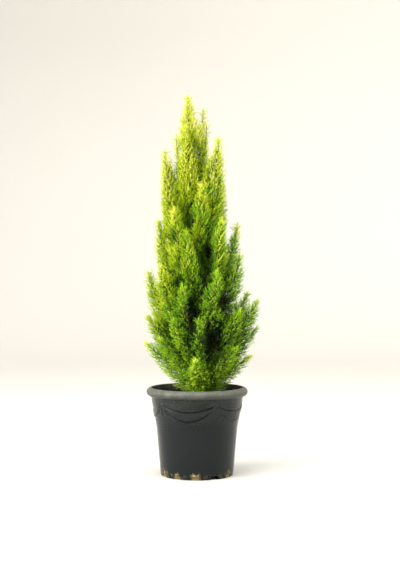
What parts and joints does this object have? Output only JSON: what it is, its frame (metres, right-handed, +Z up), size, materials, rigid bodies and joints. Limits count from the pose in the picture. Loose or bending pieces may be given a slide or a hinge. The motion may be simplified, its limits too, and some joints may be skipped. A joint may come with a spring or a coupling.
{
  "type": "potted lemon cypress",
  "caption": "Lemon cypress, a slender cone of upright plumes of fine lime-green foliage on one trunk, growing in a round black plastic nursery pot with a rolled rim.",
  "frame": {"origin": "centre of the pot's flat underside, which stands on the floor", "axes": "+Z up along the plant; the side seen in the picture faces -Y, with +X to its right"},
  "size_m": [0.3143, 0.2803, 1.0399],
  "materials": {
    "nursery_plastic": "moulded black polypropylene, slightly dusty and scuffed, with a soft sheen",
    "potting_compost": "dark crumbly potting compost",
    "cypress_bark": "thin reddish-brown bark that splits in fine lengthwise strips",
    "cypress_foliage": "fine scale leaves, lemon at the tips and deep green inside the crown"
  },
  "bodies": {
    "root": {"pot": "nursery_plastic", "compost": "potting_compost", "trunk": "cypress_bark", "bough_back_high": "cypress_bark", "bough_back_left_mid": "cypress_bark", "bough_front_left_mid": "cypress_bark", "bough_front_left_upper": "cypress_bark", "bough_front_right_mid": "cypress_bark", "bough_left_high": "cypress_bark", "bough_left_low": "cypress_bark", "bough_left_mid": "cypress_bark", "bough_left_upper": "cypress_bark", "bough_right_back_mid": "cypress_bark", "bough_right_high": "cypress_bark", "bough_right_low": "cypress_bark", "bough_right_mid": "cypress_bark", "bough_right_upper": "cypress_bark", "foliage_back_high": "cypress_foliage", "foliage_back_left_low": "cypress_foliage", "foliage_back_left_mid": "cypress_foliage", "foliage_back_left_upper": "cypress_foliage", "foliage_back_low": "cypress_foliage", "foliage_back_mid": "cypress_foliage", "foliage_back_right_low": "cypress_foliage", "foliage_back_right_mid": "cypress_foliage", "foliage_back_right_upper": "cypress_foliage", "foliage_back_skirt": "cypress_foliage", "foliage_front_high": "cypress_foliage", "foliage_front_left_low": "cypress_foliage", "foliage_front_left_mid": "cypress_foliage", "foliage_front_left_upper": "cypress_foliage", "foliage_front_low": "cypress_foliage", "foliage_front_mid": "cypress_foliage", "foliage_front_right_low": "cypress_foliage", "foliage_front_right_mid": "cypress_foliage", "foliage_front_right_skirt": "cypress_foliage", "foliage_front_skirt": "cypress_foliage", "foliage_front_upper": "cypress_foliage", "foliage_leader_back": "cypress_foliage", "foliage_leader_far_right": "cypress_foliage", "foliage_leader_front": "cypress_foliage", "foliage_leader_left": "cypress_foliage", "foliage_leader_right": "cypress_foliage", "foliage_leader_tip": "cypress_foliage", "foliage_left_front_low": "cypress_foliage", "foliage_left_high": "cypress_foliage", "foliage_left_low": "cypress_foliage", "foliage_left_mid": "cypress_foliage", "foliage_left_skirt": "cypress_foliage", "foliage_left_upper": "cypress_foliage", "foliage_right_back_high": "cypress_foliage", "foliage_right_back_low": "cypress_foliage", "foliage_right_back_mid": "cypress_foliage", "foliage_right_bottom": "cypress_foliage", "foliage_right_high": "cypress_foliage", "foliage_right_low": "cypress_foliage", "foliage_right_mid": "cypress_foliage", "foliage_right_skirt": "cypress_foliage", "foliage_right_upper": "cypress_foliage"}
  },
  "joints": []
}
